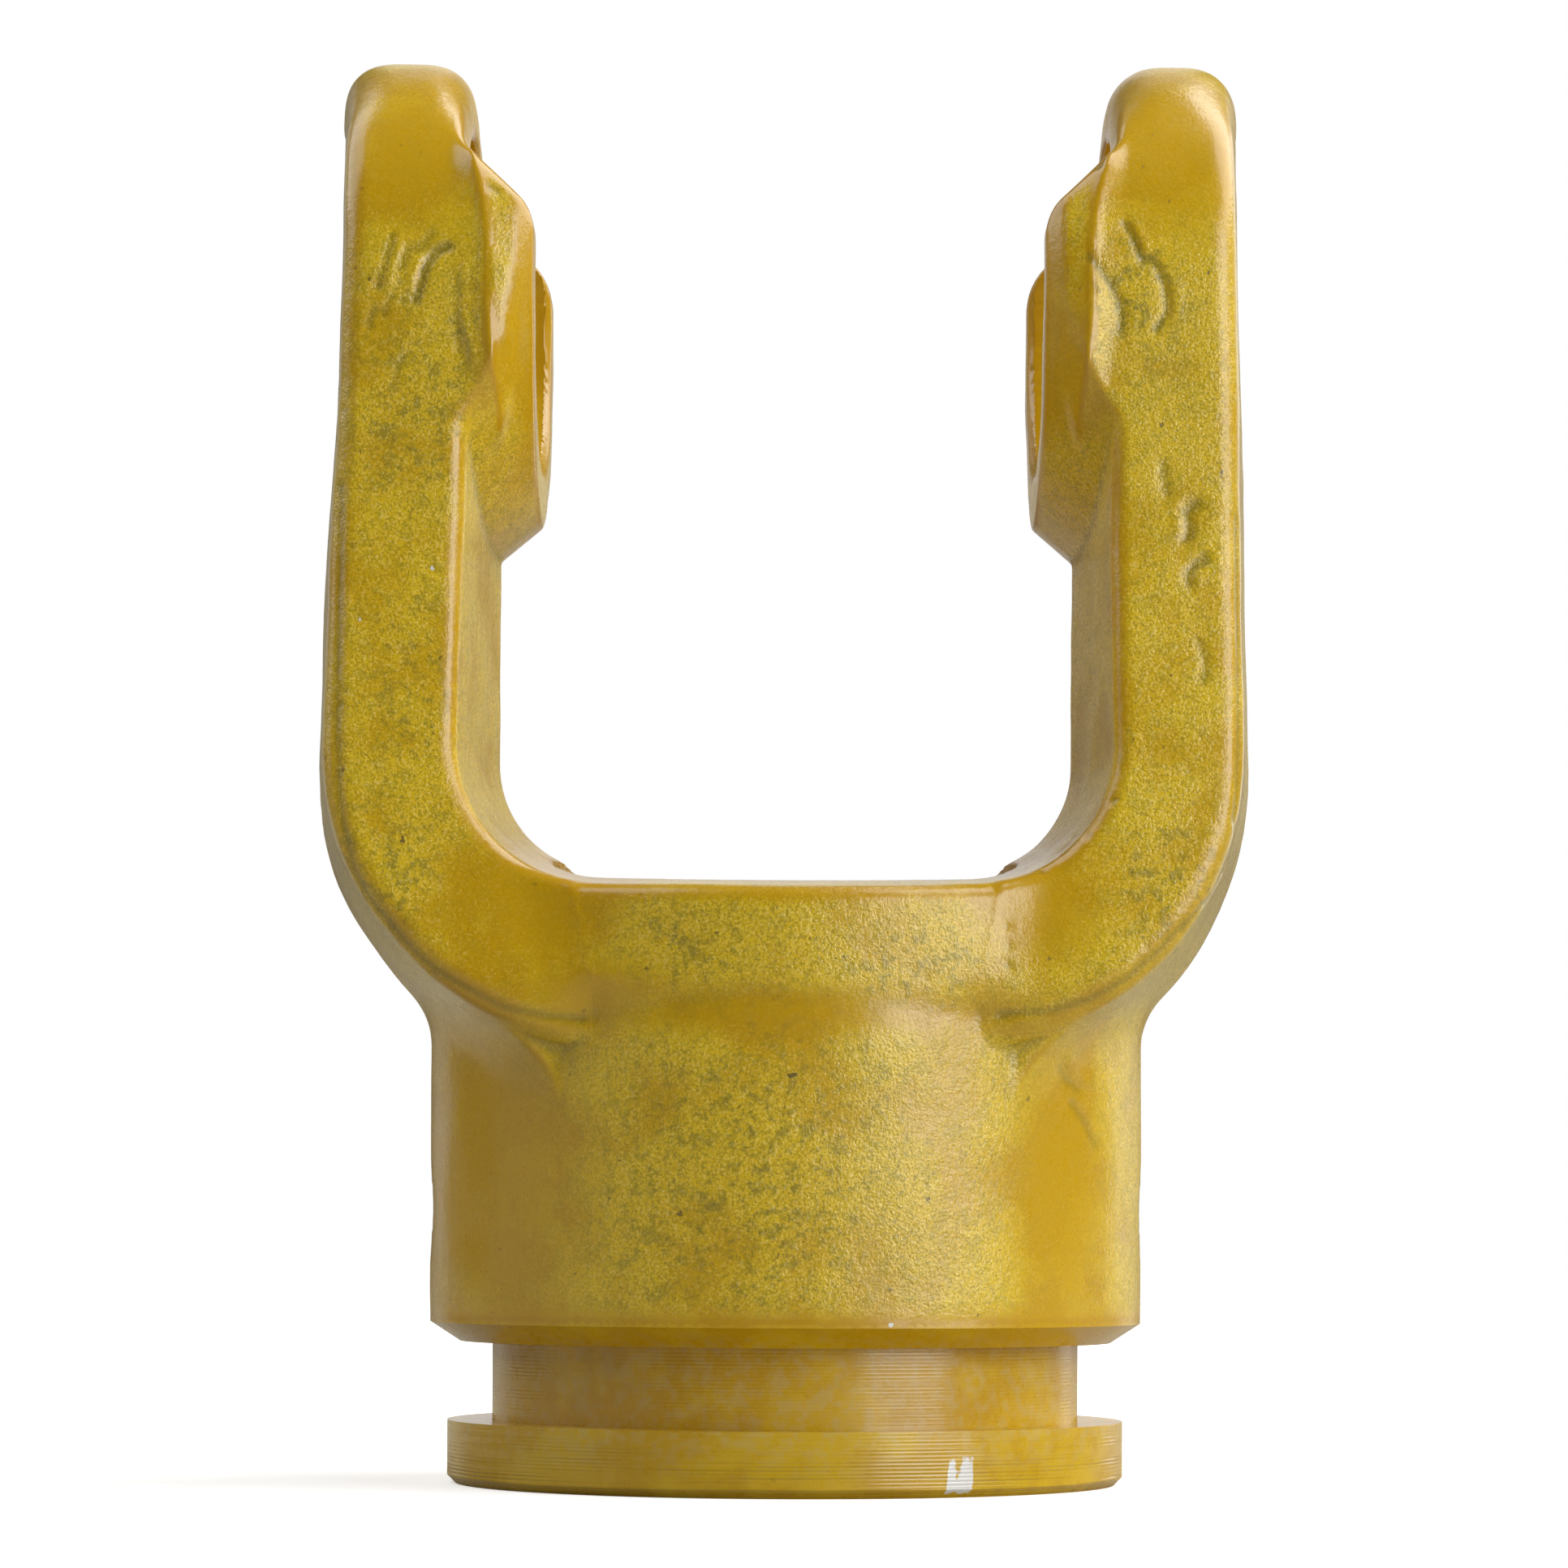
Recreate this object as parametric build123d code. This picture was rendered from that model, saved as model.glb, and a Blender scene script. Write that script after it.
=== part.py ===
from build123d import *
from math import hypot
import os

os.makedirs("parts", exist_ok=True)

# Every length is in millimetres. The origin is the centre of the hub's end face, where the yoke
# stands. +Z runs up the driveline axis to the cross, and the two arms stand apart along X.
# The forging dies parted on the XZ plane, so every forged wall leans away from it by the draft.

# Heights above the hub's end face
bore_height = 115.8
slot_floor = 60.1
band_underside = 38.5

# Turned hub end: locating collar, guard groove and shoulder
collar_radius = 33.2
collar_height = 6.2
collar_edge = 0.8
groove_radius = 28.8
groove_width = 7.7
hub_radius = 34.9
shoulder_face = 2.9
shoulder_bevel = 1.9

# Fork seen from the front, as half widths on the parting plane
draft = 6.0
ear_half_width = 43.8
foot_spread = 2.7
arm_inner_half_width = 28.1
shoulder_radius = 30.8
crotch_radius = 10.4

# Fork seen from the side, as half depths from the parting plane
ear_radius = 23.2
band_half_depth = 30.0
flare_top = 92.0
flare_top_radius = 40.0
flare_foot = 48.0
flare_foot_radius = 15.0

# Bearing bosses inside the ears, relieved above the bore so that the joint can swing
boss_half_gap = 24.2
boss_face_stock = 1.0
boss_face_radius = 20.8
boss_draft = 40.0
relief_half_width = 30.9
relief_start = 5.2
relief_shoulder_radius = 5.0
relief_root_radius = 3.0

# Machined bearing bores with their retaining-ring grooves
bore_radius = 16.0
cross_half_length = 38.0
ring_groove_width = 1.8
ring_groove_depth = 1.0
bore_mouth = 0.8

# Socket for the profile tube, and the cross hole of the roll pin that holds the tube
socket_lobe_reach = 24.6
socket_lobe_radius = 9.0
socket_side_reach = 20.5
socket_mouth = 1.0
pin_radius = 5.0
pin_height = 27.0

# Radii left by the forging dies
root_radius = 7.6
edge_radius = 2.2
slot_edge_radius = 1.5
relief_edge_radius = 1.4

ear_top = bore_height + ear_radius
foot_half_width = ear_half_width + foot_spread
groove_top = collar_height + groove_width
hub_edge = groove_top + shoulder_bevel
arm_middle = (arm_inner_half_width + ear_half_width) / 2

# Working values: reach of a cutter past the part, nearness that counts as touching, and the
# angle above which an edge is sharp
outside = 10.0
near = 0.02
sharp_angle = 50.0


def symmetric_outline(half_points):
    """Close a right-hand outline with its mirror image about the vertical axis."""
    mirrored = [(-x, z) for x, z in reversed(half_points)]
    return make_face(Polyline(*half_points, *mirrored, close=True))


def corners_at(face, height):
    """Both corners of an outline that lie at one height."""
    return [v for v in face.vertices() if abs(v.Y - height) < near]


def radius_of(point):
    """Distance of a point from the hub's axis."""
    return hypot(point.X, point.Y)


def fork_blank():
    """Front half of arms and band, drawn out from the parting plane with draft."""
    lean = foot_spread / (ear_top - band_underside)
    outline = symmetric_outline([
        (ear_half_width - lean * outside, ear_top + outside),
        (foot_half_width, band_underside),
    ])
    outline = fillet(corners_at(outline, band_underside), shoulder_radius)
    return extrude(Plane.XZ * outline, hub_radius + outside, taper=draft)


def crotch_slot():
    """Open space between the arms, widening to the front with the same draft."""
    outline = symmetric_outline([
        (arm_inner_half_width, ear_top + 2 * outside),
        (arm_inner_half_width, slot_floor),
    ])
    outline = fillet(corners_at(outline, slot_floor), crotch_radius)
    return extrude(Plane.XZ * outline, hub_radius + outside, taper=-draft)


def hub_column(height):
    """Plain round column as wide as the forged hub."""
    return Cylinder(hub_radius, height, align=(Align.CENTER, Align.CENTER, Align.MIN))


def side_form(inset=0):
    """Side view of the forging, less an inset: round ears on arms that flare out to the band."""
    ear = ThreePointArc((-ear_radius, bore_height), (0, ear_top), (ear_radius, bore_height))
    side = Polyline(
        (ear_radius, bore_height),
        (ear_radius, flare_top),
        (band_half_depth, flare_foot),
        (band_half_depth, 0),
    )
    base = Line((band_half_depth, 0), (-band_half_depth, 0))
    outline = make_face([ear, side, base, mirror(side, Plane.YZ)])
    outline = fillet(corners_at(outline, flare_top), flare_top_radius)
    outline = fillet(corners_at(outline, flare_foot), flare_foot_radius)
    if inset:
        outline = offset(outline, -inset)
    return extrude(Plane.YZ * outline, foot_half_width + outside, both=True)


def front_half():
    """Space in front of the parting plane."""
    size = 4 * ear_top
    return Box(size, size, size, align=(Align.CENTER, Align.MAX, Align.CENTER))


def die_edges(fork):
    """Edges where the front of the fork meets its drafted walls."""
    skin = [face for face in side_form().faces() if face.center().Y < -near]
    edges = []
    for edge in fork.edges():
        samples = [Vertex(*(edge @ u)) for u in (0.1, 0.5, 0.9)]
        if (edge @ 0.5).Y > -near:
            continue
        if any(min(face.distance_to(point) for face in skin) > near for point in samples):
            continue
        middle = edge @ 0.5
        normals = [f.normal_at(middle) for f in fork.faces() if f.distance_to(samples[1]) < near]
        if len(normals) == 2 and normals[0].get_angle(normals[1]) > sharp_angle:
            edges.append(edge)
    return edges


def fork():
    """Front half of the fork with its slot, the edges rounded as the dies leave them."""
    body = (fork_blank() & side_form()) - crotch_slot()
    slot_edges = [
        edge for edge in die_edges(body)
        if (edge @ 0.5).Z > slot_floor - crotch_radius and abs((edge @ 0.5).X) < arm_middle
    ]
    body = fillet(slot_edges, slot_edge_radius)
    outer_edges = [edge for edge in die_edges(body) if abs((edge @ 0.5).X) > arm_middle]
    return fillet(outer_edges, edge_radius)


def saddle():
    """Front half of the hub's top, hollowed by the slot, with its edge rounded."""
    column = (hub_column(slot_floor) & front_half()) - crotch_slot()
    rim = [
        edge for edge in column.edges()
        if edge.geom_type != GeomType.LINE
        and all(abs(radius_of(edge @ u) - hub_radius) < near for u in (0, 0.5, 1))
        and abs((edge @ 0.5).X) < arm_inner_half_width
        and near < (edge @ 0.5).Z < slot_floor - near
    ]
    return fillet(rim, slot_edge_radius) & fork_blank()


def hub_root():
    """Front half of the forged hub and the fillet that carries it out to the arms."""
    column = Pos(0, 0, hub_edge) * hub_column(slot_floor - hub_edge)
    body = fork_blank() + (column & front_half())
    root = [
        edge for edge in body.edges()
        if edge.geom_type != GeomType.LINE
        and all(abs(radius_of(edge @ u) - hub_radius) < near for u in (0, 0.5, 1))
        and band_underside < (edge @ 0.5).Z < slot_floor - outside
    ]
    body = fillet(root, root_radius)
    width = 2 * (hub_radius + root_radius)
    depth = 2 * band_half_depth
    height = slot_floor - crotch_radius
    below_crotch = Box(width, depth, height, align=(Align.CENTER, Align.CENTER, Align.MIN))
    reach = side_form(edge_radius) & below_crotch
    return body & (reach + hub_column(height))


def boss():
    """Right-hand bearing boss as forged, which widens with its draft out into the ear."""
    raw_face = boss_half_gap - boss_face_stock
    disc = extrude(Circle(boss_face_radius), arm_middle - raw_face, taper=-boss_draft)
    return Pos(raw_face, 0, bore_height) * Rot(0, 90, 0) * disc & side_form()


def swing_relief():
    """Space cut from the inside of both ears above the bosses, for the other yoke to swing in."""
    start = bore_height + relief_start
    end = start + relief_half_width - boss_half_gap
    outline = symmetric_outline([
        (relief_half_width, ear_top + outside),
        (relief_half_width, end),
        (boss_half_gap, start),
        (boss_half_gap, slot_floor + crotch_radius),
    ])
    outline = fillet(corners_at(outline, end), relief_root_radius)
    outline = fillet(corners_at(outline, start), relief_shoulder_radius)
    return extrude(Plane.XZ * outline, hub_radius + outside, both=True)


def relief_edges(ears):
    """Edges where the swing relief breaks out through the ears' round tops."""
    edges = []
    for edge in ears.edges():
        spots = [edge @ u for u in (0, 0.5, 1)]
        reaches = [hypot(spot.Y, spot.Z - bore_height) for spot in spots]
        on_round = all(abs(reach - ear_radius) < near for reach in reaches)
        on_relief = all(abs(spot.X) < relief_half_width + near for spot in spots)
        raised = spots[1].Z > bore_height + relief_start
        if on_round and on_relief and raised and edge.geom_type != GeomType.LINE:
            edges.append(edge)
    return edges


def turned_hub():
    """Turned end of the hub with its shoulder, guard groove and locating collar."""
    section = Polyline(
        (0, hub_edge),
        (0, 0),
        (collar_radius - collar_edge, 0),
        (collar_radius, collar_edge),
        (collar_radius, collar_height),
        (groove_radius, collar_height),
        (groove_radius, groove_top),
        (hub_radius - shoulder_face, groove_top),
        (hub_radius, hub_edge),
        close=True,
    )
    return revolve(Plane.XZ * make_face(section), Axis.Z)


def tube_socket():
    """Three-lobed socket for the profile tube, with a lead-in at the hub's end face."""
    lobe_offset = socket_lobe_reach - socket_lobe_radius
    inset = socket_side_reach - socket_lobe_radius
    side_offset = (lobe_offset ** 2 - inset ** 2) / (2 * inset - lobe_offset)
    side = Pos(-side_offset, 0) * Circle(socket_side_reach + side_offset)
    outline = (Rot(0, 0, -90) * side) & (Rot(0, 0, 30) * side) & (Rot(0, 0, 150) * side)
    outline = fillet(outline.vertices(), socket_lobe_radius)
    mouth = extrude(offset(outline, socket_mouth), socket_mouth, taper=45)
    return extrude(outline, slot_floor + outside) + mouth


def bearing_bores():
    """Both bearing bores on one axis, their retaining-ring grooves and lead-ins."""
    from_below = (Align.CENTER, Align.CENTER, Align.MIN)
    bores = Cylinder(bore_radius, 2 * (foot_half_width + outside))
    ring_groove = Cylinder(bore_radius + ring_groove_depth, ring_groove_width, align=from_below)
    lead_in = Cone(bore_radius + bore_mouth, bore_radius, bore_mouth, align=from_below)
    one_side = Pos(0, 0, cross_half_length) * ring_groove + Pos(0, 0, boss_half_gap) * lead_in
    tools = bores + one_side + mirror(one_side, Plane.XY)
    return Pos(0, 0, bore_height) * Rot(0, 90, 0) * tools


def pin_hole():
    """Cross hole of the roll pin, through both walls of the hub."""
    return Pos(0, 0, pin_height) * Rot(0, 90, 0) * Cylinder(pin_radius, 2 * hub_radius + outside)


def yoke():
    """The whole yoke: forged in one piece, then turned, bored and broached."""
    half = (hub_root() - crotch_slot()) + saddle() + fork()
    forging = half + mirror(half, Plane.XZ)
    forging = forging + boss() + mirror(boss(), Plane.YZ)
    forging = forging - swing_relief()
    forging = fillet(relief_edges(forging), relief_edge_radius)
    return forging + turned_hub() - bearing_bores() - pin_hole() - tube_socket()


export_step(yoke(), "parts/yoke.step")
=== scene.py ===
import math

import bmesh
import bpy
import numpy as np
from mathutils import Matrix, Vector
from mathutils.bvhtree import BVHTree


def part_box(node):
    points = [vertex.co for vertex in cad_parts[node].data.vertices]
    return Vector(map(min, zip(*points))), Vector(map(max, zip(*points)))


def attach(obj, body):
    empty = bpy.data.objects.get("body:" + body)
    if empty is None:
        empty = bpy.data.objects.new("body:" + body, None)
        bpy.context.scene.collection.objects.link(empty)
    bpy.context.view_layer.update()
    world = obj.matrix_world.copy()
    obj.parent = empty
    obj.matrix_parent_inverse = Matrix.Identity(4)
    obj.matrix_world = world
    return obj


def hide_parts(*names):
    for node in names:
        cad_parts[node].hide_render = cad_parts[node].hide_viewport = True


# Lengths are in metres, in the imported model's own frame: the yoke stands on z = 0, its axis is Z,
# and the bearing bores run along X.
MM = 0.001

# Turned and bored surfaces, which stay crisp where the forged skin is soft
COLLAR_RADIUS = 33.2 * MM
COLLAR_HEIGHT = 6.2 * MM
COLLAR_EDGE = 0.8 * MM
GROOVE_RADIUS = 28.8 * MM
GROOVE_TOP = 13.9 * MM
HUB_RADIUS = 34.9 * MM
SHOULDER_INNER = 32.0 * MM
SHOULDER_TOP = 15.8 * MM
BORE_RADIUS = 16.0 * MM
BORE_HEIGHT = 115.8 * MM
BORE_INNER_END = 24.2 * MM
RELIEF_START = 5.2 * MM
EAR_RADIUS = 23.2 * MM
RELIEF_HALF_WIDTH = 30.9 * MM
EAR_TOP = 139.0 * MM
EAR_HALF_WIDTH = 43.8 * MM
WALL_LEAN = 2.7 / 100.5
DRAFT = math.tan(math.radians(6))
SOCKET_REACH = 25.6 * MM
SADDLE_HEIGHT = 60.1 * MM

# Camera: level with the lower hub, half a metre in front of the yoke
PHOTO_SIZE = 1932
PIXEL = 0.08 * MM
HORIZON_ROW = 1520
CAMERA_DISTANCE = 504 * MM
CAMERA_HEIGHT = 24.5 * MM
CAMERA_SIDE = -0.15 * MM
CAMERA_ROLL = math.radians(0.25)
SENSOR = 36.0

# Mesh of the dressed yoke: fineness, and how near to a machined surface the skin is set onto it
VOXEL = 0.38 * MM
MERGE_GAP = 0.001 * MM
MOST_TRIANGLES = 190000
TURNED_SIDES = 288
END_FACE_EDGE = 32.0 * MM
LATHE_REACH = 0.5 * MM
BORING_REACH = 0.3 * MM

# Rounds of softening, for worn dies and thick paint, and the pull of each round
SOFTENING = 0.5
EDGE_ROUNDS = 2
BORE_MOUTH_ROUNDS = 6
BOSS_ROOT_ROUNDS = 40
EAR_TOP_ROUNDS = 24
BEND_ROUNDS = 8

# Bend of the skin at which an edge or a hollow starts to show in the paint, as less grain and painted
# shade on an edge and painted shade in a hollow, and is full
BEND_START = 0.004
BEND_FULL = 0.016

# Folds as they show: wider and higher than their lines say, and with painted shade where they run deep
FOLD_WIDENING = 1.15
FOLD_RAISING = 1.2
FOLD_SHADE_START = 0.04 * MM
FOLD_SHADE_DEPTH = 0.20 * MM

# Waves and ripples of the forged skin
WAVE_HEIGHT = 0.30 * MM
WAVE_SIZE = 9.0 * MM
RIPPLE_HEIGHT = 0.03 * MM
RIPPLE_SIZE = 2.2 * MM

# How the dies' halves and wear put the forging off its nominal shape
ARM_SHIFT = 0.22 * MM
LEFT_WALL_BULGE = 0.34 * MM
LEFT_EAR_CORNERS = (4.0 * MM, 4.2 * MM)
RIGHT_EAR_CORNERS = (4.6 * MM, 4.8 * MM)

# Where the hub's round front meets the arms' flat front, and how wide the dies blended them
ARM_FOOT_DEPTH = 30.0 * MM
FLARE_FOOT = 48.0 * MM
FLARE_SLOPE = 6.8 / 44
FRONT_BLEND = 4.5 * MM


def link(obj):
    """Put a new object into the scene."""
    bpy.context.scene.collection.objects.link(obj)
    return obj


def rows(items, name, width, kind=np.float32):
    """One property of a mesh's vertices, edges or faces, as an array with a row for each."""
    flat = np.empty(len(items) * width, kind)
    items.foreach_get(name, flat)
    return flat.reshape(-1, width)


def vertex_places(mesh):
    """The vertices of a mesh as an array of points."""
    return rows(mesh.vertices, "co", 3).astype(float)


def vertex_normals(mesh):
    """The vertex normals of a mesh as an array of directions."""
    return rows(mesh.vertex_normals, "vector", 3).astype(float)


def move_vertices(mesh, places):
    """Write an array of points back into a mesh."""
    mesh.vertices.foreach_set("co", places.astype(np.float32).ravel())
    mesh.update()


def add_mask(mesh, name, values):
    """Keep one number for each vertex, for the paint to read."""
    mask = mesh.attributes.new(name, "FLOAT", "POINT")
    mask.data.foreach_set("value", np.clip(values, 0, 1).astype(np.float32))


def smooth_step(low, high, values):
    """A soft step from 0 at low to 1 at high."""
    t = np.clip((values - low) / (high - low), 0, 1)
    return t * t * (3 - 2 * t)


def applied(obj):
    """Turn an object's modifiers into its plain mesh."""
    graph = bpy.context.evaluated_depsgraph_get()
    mesh = bpy.data.meshes.new_from_object(obj.evaluated_get(graph))
    obj.modifiers.clear()
    old = obj.data
    obj.data = mesh
    bpy.data.meshes.remove(old)
    return obj


def solid_copy(node, name):
    """A closed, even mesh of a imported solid, fine enough to carry the forging's relief."""
    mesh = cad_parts[node].data.copy()
    build = bmesh.new()
    build.from_mesh(mesh)
    bmesh.ops.remove_doubles(build, verts=build.verts, dist=MERGE_GAP)
    bmesh.ops.recalc_face_normals(build, faces=build.faces)
    build.to_mesh(mesh)
    build.free()
    mesh.materials.clear()
    obj = link(bpy.data.objects.new(name, mesh))
    remesh = obj.modifiers.new("even_skin", "REMESH")
    remesh.mode = "VOXEL"
    remesh.voxel_size = VOXEL
    return applied(obj)


def bore_distance(places):
    """Distance of each point from the axis of the bearing bores."""
    return np.hypot(places[:, 1], places[:, 2] - BORE_HEIGHT)


def hub_distance(places):
    """Distance of each point from the hub's axis."""
    return np.hypot(places[:, 0], places[:, 1])


def forged_share(places):
    """1 on the forged skin, falling to 0 on the turned hub end, in the bores and in the socket."""
    above_shoulder = smooth_step(SHOULDER_TOP + 0.2 * MM, SHOULDER_TOP + 2.5 * MM, places[:, 2])
    beside = (np.abs(places[:, 0]) > BORE_INNER_END - 1 * MM)
    off_bore = smooth_step(0.5 * MM, 1.3 * MM, bore_distance(places) - BORE_RADIUS)
    off_bore = np.where(beside & (bore_distance(places) < BORE_RADIUS + 2 * MM), off_bore, 1)
    in_socket = (hub_distance(places) < SOCKET_REACH) & (places[:, 2] < SADDLE_HEIGHT - 0.5 * MM)
    return above_shoulder * off_bore * np.where(in_socket, 0, 1)


def ear_top_share(places):
    """1 on the corners of the ears' tops, where wear in the dies has rounded every edge."""
    off_bore = smooth_step(16.5 * MM, 19.5 * MM, bore_distance(places))
    return off_bore * smooth_step(13 * MM, 18 * MM, places[:, 2] - BORE_HEIGHT)


def ear_tops_rounded(places):
    """Round the outer and inner corners of the ears' tops as far as worn dies left them."""
    side = np.sign(places[:, 0])
    across = np.abs(places[:, 0])
    rise = places[:, 2] - BORE_HEIGHT
    reach = bore_distance(places)
    old_reach = np.maximum(reach, MM)
    share = smooth_step(11 * MM, 21 * MM, rise)
    outer_wall = EAR_HALF_WIDTH + WALL_LEAN * (EAR_TOP - places[:, 2])
    outer_wall -= DRAFT * np.abs(places[:, 1])
    for ear, corners in ((-1, LEFT_EAR_CORNERS), (1, RIGHT_EAR_CORNERS)):
        for out, wall, radius in ((1, outer_wall, corners[0]), (-1, RELIEF_HALF_WIDTH, corners[1])):
            past = out * (across - wall) + radius
            above = reach - EAR_RADIUS + radius
            length = np.maximum(np.hypot(past, above), MM)
            corner = (side == ear) & (past > 0) & (above > 0) & (length > radius)
            pull = np.where(corner, share * (1 - radius / length), 0)
            across = across - out * past * pull
            reach = reach - above * pull
    scale = reach / old_reach
    result = places.copy()
    result[:, 0] = side * across
    result[:, 1] *= scale
    result[:, 2] = BORE_HEIGHT + rise * scale
    return result


def boss_root_share(places):
    """1 where the front of each ear runs flat into its boss, above the valley beside the boss."""
    across = np.abs(places[:, 0])
    rise = places[:, 2] - BORE_HEIGHT
    reach = np.hypot(places[:, 1], np.maximum(rise, 0))
    beside = smooth_step(25.6 * MM, 26.8 * MM, across) * smooth_step(35 * MM, 32.5 * MM, across)
    under_relief = smooth_step(0.4 * MM, 2.2 * MM, across - BORE_INNER_END - rise + RELIEF_START)
    height = smooth_step(-10 * MM, -4 * MM, rise)
    in_front = smooth_step(EAR_RADIUS - 3.4 * MM, EAR_RADIUS - 2.4 * MM, reach)
    return beside * under_relief * height * in_front


def bore_mouth_share(places):
    """1 along the rims of the bearing bores."""
    near_wall = smooth_step(1.5 * MM, 0.9 * MM, np.abs(bore_distance(places) - BORE_RADIUS))
    return near_wall * (np.abs(places[:, 0]) > BORE_INNER_END - 1.5 * MM)


def ears_into_bosses(places):
    """Fill the valley between each ear's front and its boss, so that both run on as one face."""
    rise = np.maximum(places[:, 2] - BORE_HEIGHT, 0)
    reach = np.hypot(places[:, 1], rise)
    gap = np.clip(EAR_RADIUS - reach, 0, None)
    scale = 1 + gap * boss_root_share(places) / np.maximum(reach, MM)
    result = places.copy()
    result[:, 1] *= scale
    result[:, 2] += rise * (scale - 1)
    return result


def arms_as_forged(places):
    """Set the arms a little to the left of the hub's axis and fill out the left one's outer wall."""
    height = places[:, 2]
    at_arms = smooth_step(50 * MM, 60 * MM, height) * smooth_step(104 * MM, 84 * MM, height)
    outer_left = smooth_step(-36 * MM, -42 * MM, places[:, 0])
    result = places.copy()
    result[:, 0] -= at_arms * (ARM_SHIFT + LEFT_WALL_BULGE * outer_left)
    return result


def hub_into_arms(places):
    """Fill the corner between the hub's round front and the arms' flat front with a smooth blend."""
    depth = np.abs(places[:, 1])
    round_front = np.sqrt(np.clip(HUB_RADIUS ** 2 - places[:, 0] ** 2, 0, None))
    flat_front = ARM_FOOT_DEPTH - FLARE_SLOPE * np.clip(places[:, 2] - FLARE_FOOT, 0, None)
    behind = np.abs(depth - np.maximum(round_front, flat_front))
    corner = np.clip(1 - np.abs(round_front - flat_front) / FRONT_BLEND, 0, 1)
    share = smooth_step(4.5 * MM, 2.5 * MM, behind) * smooth_step(44 * MM, 49 * MM, places[:, 2])
    result = places.copy()
    result[:, 1] += np.sign(places[:, 1]) * corner ** 2 * FRONT_BLEND / 4 * share
    return result


def soften(places, edges, weight, rounds):
    """Relax the skin towards its neighbours, as worn dies and thick paint round a forging."""
    touched = edges[(weight[edges] > 0).any(axis=1)]
    zone, touched = np.unique(touched, return_inverse=True)
    first, second = touched.reshape(-1, 2).T
    count = len(zone)
    share = weight[zone][:, None]
    here = places[zone]
    neighbours = np.bincount(first, minlength=count) + np.bincount(second, minlength=count)
    for _ in range(rounds):
        total = np.stack([
            np.bincount(first, here[second, k], count) + np.bincount(second, here[first, k], count)
            for k in range(3)
        ], axis=1)
        here = here + share * (total / neighbours[:, None] - here)
    result = places.copy()
    result[zone] = here
    return result


def bend(places, normals, edges, rounds):
    """How sharply the skin bends at each point: above zero on edges, below zero in hollows."""
    flat = np.ones(len(places))
    offset = soften(places, edges, flat, 1) - places
    turn = -(offset * normals).sum(axis=1)
    return soften(np.repeat(turn[:, None], 3, axis=1), edges, SOFTENING * flat, rounds)[:, 0] / MM


def turned_profile():
    """The lathe-cut section of the hub end, as distance from the axis against height."""
    return np.array([
        (COLLAR_RADIUS - COLLAR_EDGE, 0),
        (COLLAR_RADIUS, COLLAR_EDGE),
        (COLLAR_RADIUS, COLLAR_HEIGHT),
        (GROOVE_RADIUS, COLLAR_HEIGHT),
        (GROOVE_RADIUS, GROOVE_TOP),
        (SHOULDER_INNER, GROOVE_TOP),
        (HUB_RADIUS, SHOULDER_TOP),
        (HUB_RADIUS, SHOULDER_TOP + 2 * MM),
    ])


def onto_turned_profile(places):
    """Bring the hub end's skin onto true turned surfaces, with crisp edges."""
    radius = hub_distance(places)
    nearest = np.full(len(places), np.inf)
    target = np.stack([radius, places[:, 2]], axis=1)
    here = target.copy()
    corners = turned_profile()
    for start, end in zip(corners[:-1], corners[1:]):
        along = end - start
        t = np.clip((here - start) @ along / (along @ along), 0, 1)
        foot = start + t[:, None] * along
        gap = np.hypot(*(here - foot).T)
        closer = gap < nearest
        nearest[closer] = gap[closer]
        target[closer] = foot[closer]
    turned = (nearest < LATHE_REACH) & (places[:, 2] < SHOULDER_TOP + 1 * MM)
    scale = np.where(turned, target[:, 0] / np.maximum(radius, MM), 1)
    result = places.copy()
    result[:, 0] *= scale
    result[:, 1] *= scale
    result[turned, 2] = target[turned, 1]
    return result


def onto_bores(places):
    """Bring the walls of the bearing bores onto true cylinders."""
    distance = bore_distance(places)
    wall = (np.abs(distance - BORE_RADIUS) < BORING_REACH) & (np.abs(places[:, 0]) > BORE_INNER_END)
    scale = np.where(wall, BORE_RADIUS / np.maximum(distance, MM), 1)
    result = places.copy()
    result[:, 1] *= scale
    result[:, 2] = BORE_HEIGHT + (places[:, 2] - BORE_HEIGHT) * scale
    return result


class Front:
    """The yoke's skin as the camera sees it, to put a mark where its picture shows it."""

    def __init__(self, obj):
        graph = bpy.context.evaluated_depsgraph_get()
        self.tree = BVHTree.FromObject(obj, graph)
        self.eye = Vector((CAMERA_SIDE, -CAMERA_DISTANCE, CAMERA_HEIGHT))

    def place(self, column, row):
        """The point of the skin that shows at a column and row of the photograph."""
        across = (column - PHOTO_SIZE / 2) * PIXEL
        up = (HORIZON_ROW - row) * PIXEL
        turn = CAMERA_ROLL
        aim = Vector((
            CAMERA_SIDE + across * math.cos(turn) - up * math.sin(turn),
            0,
            CAMERA_HEIGHT + across * math.sin(turn) + up * math.cos(turn),
        ))
        hit = self.tree.ray_cast(self.eye, (aim - self.eye).normalized())[0]
        return np.array(hit) if hit is not None else None


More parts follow.
